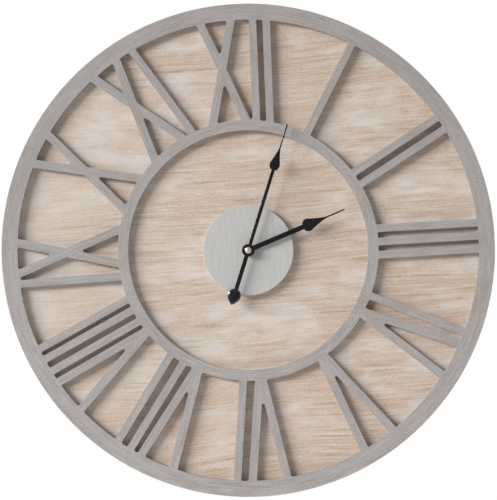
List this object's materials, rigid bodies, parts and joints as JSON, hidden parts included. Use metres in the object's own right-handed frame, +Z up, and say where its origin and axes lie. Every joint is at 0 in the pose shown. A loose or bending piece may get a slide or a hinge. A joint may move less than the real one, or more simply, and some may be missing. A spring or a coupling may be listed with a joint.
{
  "type": "wall clock",
  "caption": "Large round wooden wall clock with a cut-out ring of tall Roman numerals, a raised middle disc, black spade hands and a quartz movement.",
  "frame": {"origin": "on the wall plane, at the middle of the hanger plate's round entry hole, 145 mm above the hand axis", "axes": "+Z up the dial towards XII, +X towards III, and the dial faces -Y; +Y goes into the wall"},
  "size_m": [0.5999, 0.0542, 0.6],
  "materials": {
    "board": "raw fibreboard",
    "veneer": "whitewashed oak veneer, matt",
    "fretwork": "grey washed fibreboard, brushed and matt",
    "centre_disc": "light grey washed fibreboard, matt",
    "batten": "planed softwood",
    "zinc_steel": "zinc plated",
    "rubber": "matt",
    "case_plastic": "moulded, fine grain",
    "brass": "turned",
    "gear_plastic": "moulded, natural",
    "circuit": "glass epoxy laminate, lacquered",
    "chip_resin": "cast resin",
    "bright_metal": "nickel plated",
    "copper_wire": "enamelled copper wire",
    "magnet": "sintered magnet",
    "cell": "printed steel can",
    "hand_black": "black paint, satin",
    "cap_metal": "polished"
  },
  "bodies": {
    "clock": {"back_board": "board", "face_veneer": "veneer", "numeral_fretwork": "fretwork", "centre_disc": "centre_disc", "upper_batten": "batten", "lower_batten": "batten", "batten_screws": "zinc_steel", "hanger_plate": "zinc_steel", "hanger_screws": "zinc_steel", "wall_bumpers": "rubber", "movement_case": "case_plastic", "movement_cover": "case_plastic", "threaded_bushing": "brass", "rubber_gasket": "rubber", "dial_washer": "brass", "dial_nut": "brass", "train_plate": "gear_plastic", "circuit_board": "circuit", "clock_chip": "chip_resin", "quartz_crystal": "bright_metal", "coil_bobbin": "gear_plastic", "coil_winding": "copper_wire", "stator": "bright_metal", "battery_cell": "cell", "positive_contact": "bright_metal", "negative_contact": "bright_metal"},
    "minute_work": {"minute_arbor": "brass", "minute_hand": "hand_black", "cap_nut": "cap_metal"},
    "hour_work": {"hour_wheel": "brass", "hour_hand": "hand_black", "hour_hand_collar": "hand_black"},
    "motion_work": {"motion_wheel": "gear_plastic"},
    "knob": {"setting_knob": "gear_plastic"},
    "rotor": {"rotor_magnet": "magnet", "rotor_pinion": "gear_plastic"},
    "intermediate": {"intermediate_wheel": "gear_plastic"},
    "seconds": {"seconds_wheel": "gear_plastic"},
    "third": {"third_wheel": "gear_plastic"},
    "centre": {"centre_wheel": "gear_plastic"}
  },
  "joints": [
    {"name": "minute_spin", "type": "hinge", "parent": "clock", "child": "minute_work", "pos_m": [0, -0.04, -0.145], "axis": [0, 1, 0], "continuous": true},
    {"name": "hour_spin", "type": "hinge", "parent": "clock", "child": "hour_work", "pos_m": [0, -0.038, -0.145], "axis": [0, 1, 0], "continuous": true},
    {"name": "motion_spin", "type": "hinge", "parent": "clock", "child": "motion_work", "pos_m": [-0.00707, -0.016, -0.13793], "axis": [0, 1, 0], "continuous": true},
    {"name": "knob_spin", "type": "hinge", "parent": "clock", "child": "knob", "pos_m": [-0.00881, -0.01, -0.12808], "axis": [0, 1, 0], "continuous": true},
    {"name": "rotor_spin", "type": "hinge", "parent": "clock", "child": "rotor", "pos_m": [0.01164, -0.009, -0.13406], "axis": [0, 1, 0], "continuous": true},
    {"name": "intermediate_spin", "type": "hinge", "parent": "clock", "child": "intermediate", "pos_m": [0.01037, -0.009, -0.14122], "axis": [0, 1, 0], "continuous": true},
    {"name": "seconds_spin", "type": "hinge", "parent": "clock", "child": "seconds", "pos_m": [0, -0.008, -0.145], "axis": [0, 1, 0], "continuous": true},
    {"name": "third_spin", "type": "hinge", "parent": "clock", "child": "third", "pos_m": [-0.0108, -0.009, -0.145], "axis": [0, 1, 0], "continuous": true},
    {"name": "centre_spin", "type": "hinge", "parent": "clock", "child": "centre", "pos_m": [0, -0.0115, -0.145], "axis": [0, 1, 0], "continuous": true}
  ],
  "couplings": [
    {"joint": "hour_spin", "follows": "minute_spin", "ratio": 0.083333},
    {"joint": "motion_spin", "follows": "minute_spin", "ratio": -0.33333},
    {"joint": "knob_spin", "follows": "minute_spin", "ratio": 1},
    {"joint": "intermediate_spin", "follows": "rotor_spin", "ratio": -0.16667},
    {"joint": "seconds_spin", "follows": "rotor_spin", "ratio": 0.033333},
    {"joint": "third_spin", "follows": "rotor_spin", "ratio": -0.0044444},
    {"joint": "centre_spin", "follows": "rotor_spin", "ratio": 0.00055556}
  ]
}
